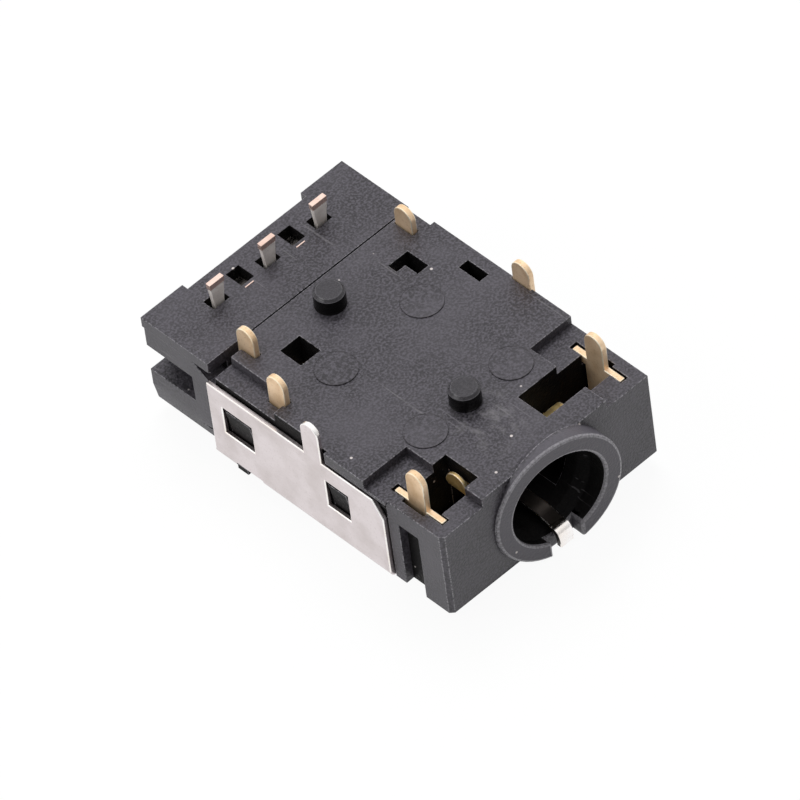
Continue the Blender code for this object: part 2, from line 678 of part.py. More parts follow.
def make_leads():
    """Lead frame: a plain lead and two that end in the pads for the light source and its driver."""
    names = ("signal_lead", "emitter_lead", "driver_lead")
    for x, name, width in zip(lead_x(), names, (LEAD_WIDTH, PAD_WIDTH, PAD_WIDTH)):
        place = section_place(x, LEAD_FROM_REAR)
        lead = sheet(name, [lead_outline(width)], LEAD_SHEET, place, PARTS)
        lead.name = name
        finish(lead, TIN)
    nose = LEAD_FROM_REAR + LEAD_SHEET / 2 + CLEAR / 2
    for name, x, size, height in (
        ("emitter_die", LEAD_X, DIE, AXIS_Z),
        ("driver_chip", LEAD_X + LEAD_PITCH, CHIP, OPTIC_TOP - CHIP_DROP),
    ):
        across = (x - size[0] / 2, x + size[0] / 2)
        along = (nose, nose + size[1])
        z = (height - size[2] / 2, height + size[2] / 2)
        finish(box(name, across, along, z, PARTS), SILICON)


# Shell: one steel stamping with the side wall, a flange under the body and the mouth tongue
SHELL_REAR = HOUSING_REAR + 2 * CLEAR
SHELL_NOSE = BODY_LENGTH - 2.89 * MM
SHELL_DROP = 0.63 * MM          # top edge below the board face
SHELL_CHAMFER = (0.47 * MM, 0.7 * MM)
SHELL_TAIL = SHELL_NOSE - 3.5 * MM
SHELL_TAIL_HEIGHT = 1.08 * MM
SHELL_NOTCH = (1.08 * MM, 1.35 * MM)        # from the rear edge, length
SHELL_NOTCH_HEIGHT = 0.3 * MM
BEND = 0.3 * MM                 # outer radius of the fold
FLANGE_X = 0.9 * MM
FLANGE_REAR = SHELL_NOSE - 4.6 * MM
TONGUE_WIDTH = 0.64 * MM
TONGUE_RISE = 0.85 * MM         # length over which it climbs from the flange into the bore
TONGUE_REACH = 0.03 * MM        # curl kept inside the ferrule's face
TONGUE_CURL = (0.42 * MM, 0.72 * MM)        # curl's length and height
TONGUE_DIP = 0.2 * MM           # fall from the contact point to the curl
TONGUE_CREST = 0.7 * MM         # end of its level run, behind the front face
TONGUE_BEND = 0.3 * MM


def shell_trim_outline():
    """What is cut away above the side wall, around the solder tail and at the nose corner."""
    top = BOARD_Z - SHELL_DROP
    tail_top = BOARD_Z + SHELL_TAIL_HEIGHT
    above = tail_top + OVERSHOOT
    rear = SHELL_REAR - OVERSHOOT
    nose = SHELL_NOSE + OVERSHOOT
    across, down = SHELL_CHAMFER
    slope = down / across
    points = [(rear, top)]
    points += tail_outline(SHELL_TAIL, TAIL_WIDTH, top, tail_top)
    points += [(SHELL_NOSE - across, top), (nose, top - down - slope * OVERSHOOT)]
    points += [(nose, above), (rear, above)]
    return points


def tongue_path():
    """Middle of the tongue as (distance from rear, z): flat, up into the bore, then the curl."""
    z = BOTTOM_Z + SHELL_SHEET / 2
    crest = AXIS_Z - BUMP_RADIUS - SHELL_SHEET / 2
    tip = RIM - TONGUE_REACH - SHELL_SHEET / 2
    curl, drop = TONGUE_CURL
    path = [
        (SHELL_NOSE - 2 * SHELL_SHEET, z),
        (SHELL_NOSE + SHELL_SHEET, z),
        (SHELL_NOSE + TONGUE_RISE, crest),
        (BODY_LENGTH - TONGUE_CREST, crest),
        (tip - curl, crest - TONGUE_DIP),
        (tip - curl / 4, crest - TONGUE_DIP - curl / 8),
        (tip, crest - TONGUE_DIP - drop / 2),
        (tip, crest - TONGUE_DIP - drop),
    ]
    return eased(path, TONGUE_BEND)


def shell_section():
    """Middle of the sheet across the body: down the side, round the fold and under the body."""
    middle = -(SHELL_IN_X + SHELL_OUT_X) / 2
    bend = BEND - SHELL_SHEET / 2
    low = BOTTOM_Z + SHELL_SHEET / 2
    fold = arc((middle + bend, low + bend), bend, 180, 270, 6)
    return [(middle, BOARD_Z + 2 * SHELL_TAIL_HEIGHT)] + fold + [(FLANGE_X, low)]


def make_shell():
    middle = (SHELL_REAR + SHELL_NOSE) / 2
    length = SHELL_NOSE - SHELL_REAR
    place = section_place(0, middle)
    shell = ribbon("ground_shell", shell_section(), length, SHELL_SHEET, place, PARTS)
    shell.name = "ground_shell"
    trim = sheet("shell_trim", [shell_trim_outline()], 2 * BEND, side_place(-SHELL_OUT_X))
    cut(shell, trim)
    above = (BOARD_Z + SHELL_TAIL_HEIGHT + OVERSHOOT / 2, BOARD_Z + 3 * SHELL_TAIL_HEIGHT)
    through = (-SHELL_OUT_X - OVERSHOOT, -SHELL_IN_X + OVERSHOOT)
    along = (SHELL_REAR - OVERSHOOT, SHELL_NOSE + OVERSHOOT)
    cut(shell, box("shell_top", through, along, above))
    for start, length in latches():
        top = BOARD_Z - LATCH_TOP
        z = (top - LATCH_HEIGHT, top)
        cut(shell, box("latch_window", through, (start, start + length), z))
    flat = (BOTTOM_Z - OVERSHOOT, BOTTOM_Z + SHELL_SHEET + OVERSHOOT)
    x = (-SHELL_OUT_X + BEND, FLANGE_X + OVERSHOOT)
    cut(shell, box("flange_end", x, (SHELL_REAR - OVERSHOOT, FLANGE_REAR), flat))
    notch = (BOTTOM_Z - OVERSHOOT, BOTTOM_Z + SHELL_NOTCH_HEIGHT)
    start, length = SHELL_NOTCH
    along = (SHELL_REAR + start, SHELL_REAR + start + length)
    cut(shell, box("shell_notch", through, along, notch))
    place = side_place(NOTCH_X)
    join(shell, ribbon("tongue", tongue_path(), TONGUE_WIDTH, SHELL_SHEET, place))
    return finish(shell, STEEL)


# Contacts: a blade with its solder tail, pressed into the housing, and a bent spring arm
SHOULDER_REACH = (1.16 * MM, 1.25 * MM)     # behind and before the tail's middle
SHOULDER_HEIGHT = 0.45 * MM
SHOULDER_TAPER = 0.06 * MM      # rise of a shoulder's underside towards its end
SHOULDER_SINK = 0.05 * MM       # below the shelf
SLOT_ROOM = 0.17 * MM           # outside a front blade, where it is pressed in from the board side
BLADE_FOOT_Z = AXIS_Z - ARM_HEIGHT / 2 - ARM_ROOM
LEG_X = BORE_DIAMETER / 2 + 0.8 * MM        # free end of a front spring, seen in its window
LEG_RISE = 0.9 * MM             # bore axis to where the free end turns upright
SPRING_BEND = 0.45              # radius at a front spring's foot, as a share of the height below its bump
SPRING_INSET = 0.03 * MM        # front spring narrower than its blade, on each side
ARM_BEND = 0.45 * MM
LANE = 0.75 * MM                # between the two legs of an arm that doubles back
WALL = 0.35 * MM                # housing wall outside the spring cavities
FLARE = (0.8 * MM, 0.5 * MM)    # free end past the bump: outwards and along
MID_RIGHT_X = SHELL_OUT_X - CONTACT_SHEET / 2

REAR_TAIL = HOUSING_REAR + 0.57 * MM        # middle of both rear tails
MID_LEFT_TAIL = HOUSING_REAR + HOUSING_LENGTH * 0.255       # shares of the way along the housing
MID_RIGHT_TAIL = HOUSING_REAR + HOUSING_LENGTH * 0.475
REAR_LEFT_X = HALF_WIDTH - 1.57 * MM
REAR_RIGHT_X = HALF_WIDTH - 0.83 * MM
MID_LEFT_X = HALF_WIDTH - 0.69 * MM
TALL_TAIL = 1.2 * MM            # heights above the board face
MIDDLE_TAIL = 1.1 * MM
SHORT_TAIL = 1.0 * MM
ARM_TURN = 2.2 * MM             # from a tail's middle to the outer turn of its arm
LONG_TURN = 2.9 * MM
SHORT_TURN = 2.0 * MM
ARM_BUMP = 1.2 * MM             # from a tail's middle to the bump on its arm
LONG_BUMP = 1.8 * MM
SHORT_BUMP = 0.9 * MM

FRONT_CONTACTS = (
    {"name": "front_left_contact", "side": -1, "height": TALL_TAIL, "rise": SHELF_Z - AXIS_Z},
    {"name": "front_right_contact", "side": 1, "height": SHORT_TAIL, "rise": LEG_RISE + SPRING_SHEET},
)

REAR_CONTACTS = (
    {
        "name": "rear_left_contact", "side": -1, "x": REAR_LEFT_X,
        "tail": REAR_TAIL, "height": MIDDLE_TAIL, "turn": ARM_TURN, "bump": ARM_BUMP,
    },
    {
        "name": "rear_right_contact", "side": 1, "x": REAR_RIGHT_X,
        "tail": REAR_TAIL, "height": SHORT_TAIL, "turn": ARM_TURN, "bump": ARM_BUMP,
    },
    {
        "name": "mid_left_contact", "side": -1, "x": MID_LEFT_X,
        "tail": MID_LEFT_TAIL, "height": MIDDLE_TAIL, "turn": LONG_TURN, "bump": LONG_BUMP,
    },
    {
        "name": "mid_right_contact", "side": 1, "x": MID_RIGHT_X,
        "tail": MID_RIGHT_TAIL, "height": SHORT_TAIL, "turn": SHORT_TURN, "bump": SHORT_BUMP,
    },
)


def front_path(side, rise):
    """Middle of a front spring as (x, z): down the blade, round the foot, in to the bump, then up."""
    floor = BOTTOM_Z + FRONT_CAVITY_FLOOR + ARM_ROOM / 2 + SPRING_SHEET / 2
    bend = (AXIS_Z - BUMP_FLAT - floor) * SPRING_BEND
    bump = BUMP_RADIUS + SPRING_SHEET / 2
    inner = FRONT_BLADE_X - 2 * bend
    path = [(FRONT_BLADE_X, BLADE_FOOT_Z + ARM_ROOM), (FRONT_BLADE_X, floor + bend)]
    path += arc((FRONT_BLADE_X - bend, floor + bend), bend, 0, -180, 10)[1:]
    path += eased(
        [
            (inner, floor + bend),
            (inner, floor + 1.5 * bend),
            (bump, AXIS_Z - BUMP_FLAT),
            (bump, AXIS_Z + BUMP_FLAT),
            (LEG_X, AXIS_Z + LEG_RISE),
            (LEG_X, AXIS_Z + rise),
        ],
        ARM_BEND,
    )[1:]
    return [(side * x, z) for x, z in path]


def round_off(name, middle, side, end):
    """Cutter that rounds the free end of a front spring."""
    radius = FRONT_BLADE / 2 - SPRING_INSET
    top = end - CLEAR
    above = end + OVERSHOOT
    outline = arc((middle, top - radius), radius, 180, 0, 12)
    outline += [(middle + radius + CLEAR, top - radius), (middle + radius + CLEAR, above)]
    outline += [(middle - radius - CLEAR, above), (middle - radius - CLEAR, top - radius)]
    return sheet(name, [outline], 4 * BUMP_FLAT, side_place(side * LEG_X))


def shouldered_outline(tail, top_z):
    """Blade of a front contact, with the shoulders that stop it in its slot."""
    rear = tail - FRONT_BLADE / 2
    nose = tail + FRONT_BLADE / 2
    top = SHELF_Z - SHOULDER_SINK
    low = SHELF_Z - SHOULDER_HEIGHT
    first = tail - SHOULDER_REACH[0]
    last = tail + SHOULDER_REACH[1]
    outline = [(rear, BLADE_FOOT_Z), (rear, low), (first, low + SHOULDER_TAPER), (first, top)]
    outline += tail_outline(tail, TAIL_WIDTH, top, top_z)
    outline += [(last, top), (last, low + SHOULDER_TAPER), (nose, low), (nose, BLADE_FOOT_Z)]
    return outline


def make_blade(name, x, outline):
    blade = sheet(name, [outline], CONTACT_SHEET, side_place(x), PARTS)
    blade.name = name
    return blade


def make_front_contact(contact):
    side = contact["side"]
    name = contact["name"]
    outline = shouldered_outline(FRONT_TAIL, BOARD_Z + contact["height"])
    blade = make_blade(name, side * FRONT_BLADE_X, outline)
    width = FRONT_BLADE - 2 * SPRING_INSET
    place = section_place(0, FRONT_TAIL)
    rise = contact["rise"]
    spring = ribbon(name + "_spring", front_path(side, rise), width, SPRING_SHEET, place)
    cut(spring, round_off(name + "_round", FRONT_TAIL, side, AXIS_Z + rise))
    join(blade, spring)
    return finish(blade, GOLD)


def arm_stops(contact):
    """Corners of a rear spring seen from above, as (distance from the middle, distance from rear)."""
    tail = contact["tail"]
    root = tail + TAIL_WIDTH / 2 - CONTACT_SHEET
    turn = tail + contact["turn"]
    bump = tail + contact["bump"]
    outer = min(contact["x"], SHELL_WALL_X - WALL - ARM_ROOM)
    inner = outer - LANE
    x = BUMP_RADIUS + SPRING_SHEET / 2
    out, along = FLARE
    stops = [(contact["x"], root)]
    if outer < contact["x"]:
        stops += [(contact["x"], tail + TAIL_WIDTH / 2 + CLEAR), (outer, tail + TAIL_WIDTH)]
    stops += [(outer, turn), (inner, turn), (x, bump + BUMP_FLAT), (x, bump - BUMP_FLAT)]
    stops += [(x + out, bump - BUMP_FLAT - along)]
    return stops


def make_rear_contact(contact):
    side = contact["side"]
    name = contact["name"]
    top = BOARD_Z + contact["height"]
    outline = tail_outline(contact["tail"], TAIL_WIDTH, BLADE_FOOT_Z, top)
    blade = make_blade(name, side * contact["x"], outline)
    path = eased([(side * x, y_at(along)) for x, along in arm_stops(contact)], ARM_BEND)
    arm = ribbon(name + "_arm", path, ARM_HEIGHT, SPRING_SHEET, level_place(AXIS_Z))
    join(blade, arm)
    return finish(blade, GOLD)


def blade_slot(name, side, x, tail, width, low):
    half = CONTACT_SHEET / 2 + CLEAR
    reach = width / 2 + CLEAR
    across = sided(side, x - half, x + half)
    return box(name + "_slot", across, (tail - reach, tail + reach), (low, BOARD_Z + OVERSHOOT))


def front_cutters(contact):
    """Slots for the blade and its shoulders and the pocket that the spring flexes in."""
    name = contact["name"]
    side = contact["side"]
    floor = BOTTOM_Z + FRONT_CAVITY_FLOOR
    half = CONTACT_SHEET / 2 + CLEAR
    x = sided(side, FRONT_BLADE_X - half, FRONT_BLADE_X + half + CLEAR)
    room = 3 * CLEAR
    along = (FRONT_TAIL - SHOULDER_REACH[0] - room, FRONT_TAIL + SHOULDER_REACH[1] + room)
    z = (SHELF_Z - SHOULDER_HEIGHT - CLEAR, BOARD_Z + OVERSHOOT)
    shoulders = box(name + "_shoulder_slot", x, along, z)
    x = sided(side, FRONT_BLADE_X, FRONT_BLADE_X + half + SLOT_ROOM)
    along = (FRONT_TAIL - FRONT_BLADE / 2, FRONT_TAIL + FRONT_BLADE / 2)
    outside = box(name + "_outer_slot", x, along, (AXIS_Z, BOARD_Z + OVERSHOOT))
    x = sided(side, BUMP_RADIUS - ARM_ROOM, FRONT_BLADE_X)
    reach = FRONT_BLADE / 2 + POCKET_MARGIN / 2
    along = (FRONT_TAIL - reach, FRONT_TAIL + reach)
    pocket = box(name + "_pocket", x, along, (floor + CLEAR, BOARD_Z - FRONT_ROOF))
    slot = blade_slot(name, side, FRONT_BLADE_X, FRONT_TAIL, FRONT_BLADE, floor + 2 * CLEAR)
    return [slot, shoulders, outside, pocket]


def rear_cutters(contact):
    """Slot for the blade and the cavity, open below, that the spring arm flexes in."""
    name = contact["name"]
    side = contact["side"]
    stops = arm_stops(contact)
    low = BLADE_FOOT_Z - ARM_ROOM
    slot = blade_slot(name, side, contact["x"], contact["tail"], TAIL_WIDTH, low)
    outer = min(contact["x"], SHELL_WALL_X - WALL - ARM_ROOM) + SPRING_SHEET / 2 + ARM_ROOM
    inner = min(x for x, _ in stops) - SPRING_SHEET / 2 - ARM_ROOM
    along = [rear for _, rear in stops[1:]]
    nose = max(along) + SPRING_SHEET / 2 + ARM_ROOM
    rear = min(min(along), contact["tail"] + TAIL_WIDTH / 2) - ARM_ROOM
    z = (BOTTOM_Z - OVERSHOOT, CAVITY_TOP_Z)
    cavity = box(name + "_cavity", sided(side, inner, outer), (rear, nose), z)
    cutters = [slot, cavity]
    if outer < contact["x"]:
        x = sided(side, outer - ARM_ROOM, contact["x"] + CONTACT_SHEET / 2 + CLEAR)
        end = contact["tail"] + TAIL_WIDTH + SPRING_SHEET + ARM_ROOM
        z = (low + CLEAR, CAVITY_TOP_Z - CLEAR)
        cutters.append(box(name + "_entry", x, (rear - CLEAR, end), z))
    return cutters


clear_scene()
PARTS, CUTTERS = make_collections()
make_housing()
make_holder()
make_optic()
make_leads()
make_shell()
for item in FRONT_CONTACTS:
    make_front_contact(item)
for item in REAR_CONTACTS:
    make_rear_contact(item)
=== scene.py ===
import json
import math

import bmesh
import bpy
from mathutils import Matrix, Vector


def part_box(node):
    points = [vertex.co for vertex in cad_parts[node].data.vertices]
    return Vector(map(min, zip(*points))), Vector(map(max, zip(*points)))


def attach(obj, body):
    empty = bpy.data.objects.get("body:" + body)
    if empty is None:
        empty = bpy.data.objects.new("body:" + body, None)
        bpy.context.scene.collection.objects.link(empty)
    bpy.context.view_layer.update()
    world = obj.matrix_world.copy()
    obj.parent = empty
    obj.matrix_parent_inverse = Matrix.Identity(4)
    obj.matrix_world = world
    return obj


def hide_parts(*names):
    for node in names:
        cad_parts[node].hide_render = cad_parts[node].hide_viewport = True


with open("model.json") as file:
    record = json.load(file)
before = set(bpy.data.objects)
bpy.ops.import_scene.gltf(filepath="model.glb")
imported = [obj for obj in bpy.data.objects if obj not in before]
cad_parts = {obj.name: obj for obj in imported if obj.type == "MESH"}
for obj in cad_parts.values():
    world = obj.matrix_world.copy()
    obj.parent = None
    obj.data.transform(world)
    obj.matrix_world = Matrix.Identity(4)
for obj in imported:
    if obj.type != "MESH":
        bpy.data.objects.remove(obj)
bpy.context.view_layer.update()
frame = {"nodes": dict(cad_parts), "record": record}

mm = 0.001
nodes = frame["nodes"]
scene = bpy.context.scene
print("frame loaded:", len(nodes), "pieces")


# small helpers for node trees

def newMaterial(name):
    made = bpy.data.materials.new(name)
    made.use_nodes = True
    return made, made.node_tree, made.node_tree.nodes["Principled BSDF"]


def addNode(tree, kind, **values):
    made = tree.nodes.new(kind)
    for key, value in values.items():
        setattr(made, key, value)
    return made


def objectPlace(tree):
    return addNode(tree, "ShaderNodeTexCoord").outputs["Object"]


def noise(tree, coords, scale, detail=2.0, stretch=None, turn=None):
    # the scale counts features per metre, so 10000 gives them a tenth of a millimetre
    texture = addNode(tree, "ShaderNodeTexNoise")
    texture.inputs["Scale"].default_value = scale
    texture.inputs["Detail"].default_value = detail
    if stretch or turn:
        mapping = addNode(tree, "ShaderNodeMapping")
        mapping.inputs["Scale"].default_value = stretch or (1.0, 1.0, 1.0)
        mapping.inputs["Rotation"].default_value = turn or (0.0, 0.0, 0.0)
        tree.links.new(coords, mapping.inputs["Vector"])
        coords = mapping.outputs["Vector"]
    tree.links.new(coords, texture.inputs["Vector"])
    return texture.outputs["Fac"]


def ramp(tree, value, low, high, first, last):
    node = addNode(tree, "ShaderNodeMapRange")
    node.inputs["From Min"].default_value = low
    node.inputs["From Max"].default_value = high
    node.inputs["To Min"].default_value = first
    node.inputs["To Max"].default_value = last
    tree.links.new(value, node.inputs["Value"])
    return node.outputs["Result"]


def times(tree, first, second):
    node = addNode(tree, "ShaderNodeMath", operation="MULTIPLY")
    tree.links.new(first, node.inputs[0])
    tree.links.new(second, node.inputs[1])
    return node.outputs[0]


def blendColor(tree, factor, first, second):
    mix = addNode(tree, "ShaderNodeMix", data_type="RGBA")
    tree.links.new(factor, mix.inputs["Factor"])
    for socket, value in ((mix.inputs[6], first), (mix.inputs[7], second)):
        if isinstance(value, bpy.types.NodeSocket):
            tree.links.new(value, socket)
        else:
            socket.default_value = (*value, 1.0)
    return mix.outputs[2]


def bump(tree, shader, height, depth, under=None):
    node = addNode(tree, "ShaderNodeBump")
    node.inputs["Strength"].default_value = 1.0
    node.inputs["Distance"].default_value = depth
    tree.links.new(height, node.inputs["Height"])
    if under:
        tree.links.new(under, node.inputs["Normal"])
    tree.links.new(node.outputs["Normal"], shader.inputs["Normal"])
    return node.outputs["Normal"]


noiseSpan = (0.3, 0.7)      # most values of a noise lie between these


# black moulding: spark-eroded grain, cloudy tone, hair scratches and a little dust

plasticLook = {
    "base": (0.016, 0.014, 0.018),
    "pale": (0.078, 0.072, 0.086),
    "scratch": (0.22, 0.21, 0.22),
    "dust": (0.70, 0.64, 0.62),
    "roughness": (0.34, 0.58),
    "grainScale": 11000,
    "grainDepth": 0.026 * mm,
    "flecks": (0.41, 0.63),             # grain between these goes from base to pale
    "cloudScale": 520,
    "clouds": (0.40, 0.72),
    "cloudShare": 0.5,
    "gloss": 0.5,
    "polishedAbove": 5.0 * mm,          # the posts are smoother than the board face
    "polishedBehind": -5.0 * mm,
    "polishedFade": (0.05 * mm, 0.1 * mm),              # upwards and along the body
    "polishedShare": 0.8,
    "polishedRoughness": 0.5,           # of the roughness elsewhere
    "polishedGrain": 0.25,
    "panelFace": -7.254 * mm,
    # painted sheen on the ferrule: it fades in over this and takes this share of pale
    "ferruleSheenFade": 0.2 * mm,
    "ferruleSheenShare": 0.7,
    "dustScale": 1100,
    "dustSize": 0.045,                  # share of a dust cell
    "dustFade": 1.6,                    # sizes from its middle at which a speck ends
    "dustShare": 0.8,
    "dustCells": (0.55, 0.60),          # a cell above these has a speck in it
    "streakPatchPlace": (-0.25 * mm, -4.8 * mm, 4.9 * mm),      # middle of a paler streaky patch on the board face
    "streakPatchReach": 1.9 * mm,
    "streakPatchMiddle": 0.3,                   # share of the reach before the fading starts
    "streakPatchScale": 3000,
    "streakPatchLimits": (0.48, 0.70),
    "streakPatchShare": 0.38,
    "hairs": ((6000, 0.6), (5000, -0.9)),               # scale and turn of the hair scratches
    "hairLimits": (0.72, 0.75),
    "hairShare": 0.28,
    "hairPatches": 350,
    "patchLimits": (0.52, 0.60),
}

# rubbed edges of the same moulding, painted paler for their wear and also as a painted highlight along
# them
edgeWearAndHighlightLook = dict(plasticLook, base=(0.030, 0.028, 0.034), pale=(0.24, 0.23, 0.25), roughness=(0.22, 0.36))

# painted shade for windows, slots and the bore, which hold no gloss
innerPaintedShadeLook = dict(plasticLook, base=(0.005, 0.0045, 0.005), pale=(0.010, 0.0095, 0.0095), gloss=0.06)

# witness lines round the ejector marks, dark as a painted shade in their fine groove
witnessShadeLook = dict(plasticLook, base=(0.015, 0.013, 0.016), pale=(0.06, 0.055, 0.062), gloss=0.4)


def dust(tree, coords, look):
    cells = addNode(tree, "ShaderNodeTexVoronoi")
    cells.inputs["Scale"].default_value = look["dustScale"]
    tree.links.new(coords, cells.inputs["Vector"])
    size = look["dustSize"]
    spot = ramp(tree, cells.outputs["Distance"], size, look["dustFade"] * size, look["dustShare"], 0.0)
    split = addNode(tree, "ShaderNodeSeparateColor")
    tree.links.new(cells.outputs["Color"], split.inputs["Color"])
    chosen = ramp(tree, split.outputs["Red"], *look["dustCells"], 0.0, 1.0)
    return times(tree, spot, chosen)


def paleStreakPatch(tree, coords, look):
    # pale streaks at the middle of the patch, fading out at its reach
    away = addNode(tree, "ShaderNodeVectorMath", operation="DISTANCE")
    tree.links.new(coords, away.inputs[0])
    away.inputs[1].default_value = look["streakPatchPlace"]
    reach = look["streakPatchReach"]
    near = ramp(tree, away.outputs["Value"], look["streakPatchMiddle"] * reach, reach, 1.0, 0.0)
    streaks = noise(tree, coords, look["streakPatchScale"], 5.0, (1.0, 0.6, 1.0), (0.0, 0.0, 0.9))
    return times(tree, near, ramp(tree, streaks, *look["streakPatchLimits"], 0.0, look["streakPatchShare"]))


def hairScratches(tree, coords, look, scale, turn):
    hair = noise(tree, coords, scale, 1.0, (1.0, 0.03, 1.0), (0.0, 0.0, turn))
    thin = ramp(tree, hair, *look["hairLimits"], 0.0, look["hairShare"])
    patch = noise(tree, coords, look["hairPatches"], 1.0)
    return times(tree, thin, ramp(tree, patch, *look["patchLimits"], 0.0, 1.0))


def polish(tree, axes, look):
    # the posts, where the mould was polished
    start, nose = look["polishedAbove"], look["polishedBehind"]
    up, along = look["polishedFade"]
    above = ramp(tree, axes["Z"], start, start + up, 0.0, look["polishedShare"])
    return times(tree, above, ramp(tree, axes["Y"], nose, nose + along, 0.0, 1.0))


def paintedFerruleSheen(tree, axes, look):
    # painted sheen: in front of the panel face the ferrule is painted paler, standing in for the
    # highlight along its flank
    panel = look["panelFace"]
    return ramp(tree, axes["Y"], panel - look["ferruleSheenFade"], panel, look["ferruleSheenShare"], 0.0)


def plasticMaterial(name, look):
    material, tree, shader = newMaterial(name)
    coords = objectPlace(tree)
    split = addNode(tree, "ShaderNodeSeparateXYZ")
    tree.links.new(coords, split.inputs["Vector"])
    axes = split.outputs
    base, pale = look["base"], look["pale"]
    cloud = noise(tree, coords, look["cloudScale"], 6.0)
    grain = noise(tree, coords, look["grainScale"], 3.0)
    color = blendColor(tree, ramp(tree, cloud, *look["clouds"], 0.0, look["cloudShare"]), base, pale)
    color = blendColor(tree, ramp(tree, grain, *look["flecks"], 0.0, 1.0), color, pale)
    color = blendColor(tree, paleStreakPatch(tree, coords, look), color, look["scratch"])
    for scale, turn in look["hairs"]:
        color = blendColor(tree, hairScratches(tree, coords, look, scale, turn), color, look["scratch"])
    color = blendColor(tree, paintedFerruleSheen(tree, axes, look), color, pale)
    polished = polish(tree, axes, look)
    color = blendColor(tree, polished, color, base)
    color = blendColor(tree, dust(tree, coords, look), color, look["dust"])
    tree.links.new(color, shader.inputs["Base Color"])
    rough = ramp(tree, grain, *noiseSpan, *look["roughness"])
    calmed = ramp(tree, polished, 0.0, 1.0, 1.0, look["polishedRoughness"])
    tree.links.new(times(tree, rough, calmed), shader.inputs["Roughness"])
    shader.inputs["Specular IOR Level"].default_value = look["gloss"]
    flat = ramp(tree, polished, 0.0, 1.0, 1.0, look["polishedGrain"])
    bump(tree, shader, times(tree, grain, flat), look["grainDepth"])
    return material


# sheet metals: rolled lines, a cloudy tone and fine pits

sheetGrain = {
    "cloudScale": 900,
    "clouds": (0.40, 0.70),
    "cloudShare": 0.6,
    "pitScale": 11000,
    "pits": (0.58, 0.72),
    "pitShare": 0.45,
}

steelLook = {
    "face": (0.745, 0.68, 0.685),
    "edge": (0.54, 0.48, 0.465),
    "roughness": (0.28, 0.42),
    "metallic": 1.0,
    "stretch": (1.0, 0.05, 1.0),      # rolling lines run along the body
    "lineScale": 22000,
    "lineDepth": 0.0006 * mm,
    "pitDepth": 0.0012 * mm,
}

# sheared edges shine more; their near-white colour is also a painted highlight, which the tongue's curl
# and the tail take too
steelEdgeAndHighlightLook = dict(steelLook, face=(1.0, 0.98, 0.97), edge=(0.90, 0.80, 0.72), roughness=(0.20, 0.30))

# the arm in the bore, where no light falls on it
steelDarkLook = dict(steelLook, face=(0.07, 0.06, 0.055), edge=(0.03, 0.025, 0.02), roughness=(0.3, 0.4))

goldLook = {
    "face": (0.98, 0.74, 0.50),
    "edge": (0.54, 0.30, 0.10),
    "roughness": (0.34, 0.52),
    "metallic": 0.5,
    "stretch": (1.0, 1.0, 0.05),
    "lineScale": 24000,
    "lineDepth": 0.0008 * mm,
    "pitDepth": 0.0014 * mm,
}

# paler gold on the bevelled edges, a painted highlight along them
goldEdgeHighlightLook = dict(goldLook, face=(1.0, 0.90, 0.72), edge=(0.95, 0.66, 0.36), roughness=(0.25, 0.40))

# a warmer copy of the gold on the front springs' faces, painting the olive tone that their lighting
# gives them
paintedOliveGoldLook = dict(goldLook, face=(0.95, 0.72, 0.34), edge=(0.70, 0.46, 0.14), roughness=(0.3, 0.5))
paintedOliveGoldLook["metallic"] = 0.7

tinLook = {
    "face": (1.0, 0.95, 0.91),
    "edge": (0.55, 0.49, 0.45),
    "roughness": (0.50, 0.72),
    "metallic": 0.3,
    "stretch": (1.0, 1.0, 0.08),
    "lineScale": 15000,
    "lineDepth": 0.0016 * mm,
    "pitDepth": 0.0025 * mm,
}

copperLook = {
    "face": (0.96, 0.74, 0.65),
    "edge": (0.60, 0.36, 0.27),
    "roughness": (0.30, 0.50),
    "metallic": 1.0,
    "stretch": (1.0, 0.1, 1.0),
    "lineScale": 20000,
    "lineDepth": 0.002 * mm,
    "pitDepth": 0.002 * mm,
}


def sheetMaterial(name, look):
    material, tree, shader = newMaterial(name)
    coords = objectPlace(tree)
    face, edge, grain = look["face"], look["edge"], sheetGrain
    lines = noise(tree, coords, look["lineScale"], 3.0, look["stretch"])
    cloud = noise(tree, coords, grain["cloudScale"], 5.0)
    pits = noise(tree, coords, grain["pitScale"], 2.0)
    color = blendColor(tree, ramp(tree, cloud, *grain["clouds"], 0.0, grain["cloudShare"]), face, edge)
    color = blendColor(tree, ramp(tree, pits, *grain["pits"], 0.0, grain["pitShare"]), color, edge)
    tree.links.new(color, shader.inputs["Base Color"])
    shader.inputs["Metallic"].default_value = look["metallic"]
    tree.links.new(ramp(tree, lines, *noiseSpan, *look["roughness"]), shader.inputs["Roughness"])
    rolled = bump(tree, shader, lines, look["lineDepth"])
    bump(tree, shader, pits, look["pitDepth"], rolled)
    return material


resinLook = {
    "thick": (0.10, 0.09, 0.085),
    "thin": (0.06, 0.055, 0.05),
    "cloudScale": 700,
    "roughness": 0.08,
    "clear": 0.95,
    "ior": 1.5,
}


def resinMaterial(name, look):
    material, tree, shader = newMaterial(name)
    cloud = noise(tree, objectPlace(tree), look["cloudScale"], 2.0)
    color = blendColor(tree, ramp(tree, cloud, *noiseSpan, 0.0, 1.0), look["thick"], look["thin"])
    tree.links.new(color, shader.inputs["Base Color"])
    shader.inputs["Roughness"].default_value = look["roughness"]
    shader.inputs["Transmission Weight"].default_value = look["clear"]
    shader.inputs["IOR"].default_value = look["ior"]
    return material


siliconLook = {
    "field": (0.10, 0.10, 0.14),
    "cell": (0.20, 0.17, 0.15),
    "cellScale": 12000,
    "cells": (0.45, 0.55),
    "roughness": 0.2,
    "metallic": 0.4,
}


def siliconMaterial(name, look):
    material, tree, shader = newMaterial(name)
    cells = noise(tree, objectPlace(tree), look["cellScale"], 0.0)
    color = blendColor(tree, ramp(tree, cells, *look["cells"], 0.0, 1.0), look["field"], look["cell"])
    tree.links.new(color, shader.inputs["Base Color"])
    shader.inputs["Roughness"].default_value = look["roughness"]
    shader.inputs["Metallic"].default_value = look["metallic"]
    return material


